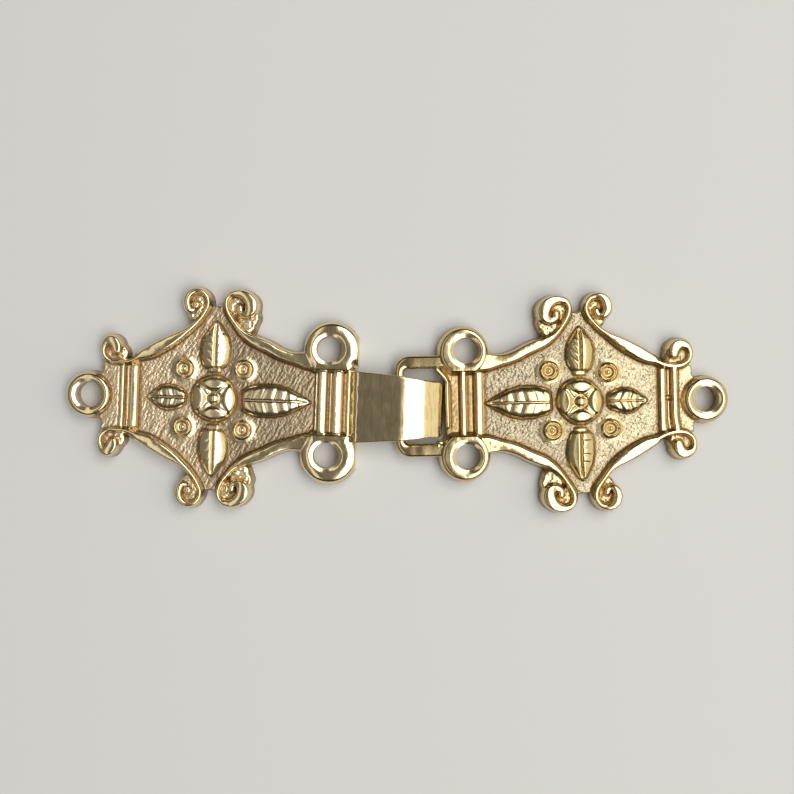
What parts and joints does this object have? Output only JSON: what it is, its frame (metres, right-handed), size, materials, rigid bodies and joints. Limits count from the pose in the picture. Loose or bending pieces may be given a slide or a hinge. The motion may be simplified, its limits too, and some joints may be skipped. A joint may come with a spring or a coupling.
{
  "type": "hook and eye clasp",
  "caption": "Gold-plated cast hook and eye clasp for a cardigan or cloak: two mirror-image scrolled plates with boss, leaves and sewing rings, lying fastened",
  "frame": {"origin": "centre of the fastened clasp's box, on the plane of its flat backs", "axes": "+X from the hook half to the eye half, +Z out of the ornamented face"},
  "size_m": [0.0662, 0.0221, 0.0031],
  "materials": {
    "gold_hook_half": "gold-plated casting, polished on the high places",
    "gold_eye_half": "gold-plated casting, polished on the high places"
  },
  "bodies": {
    "hook_body": {"hook_half": "gold_hook_half"},
    "eye_body": {"eye_half": "gold_eye_half"}
  },
  "joints": [
    {"name": "eye_tilt", "type": "hinge", "parent": "hook_body", "child": "eye_body", "pos_m": [0.00026, -0.00063, 0.00145], "axis": [0.0201, -0.9998, 0], "range_deg": [-30, 90]}
  ]
}
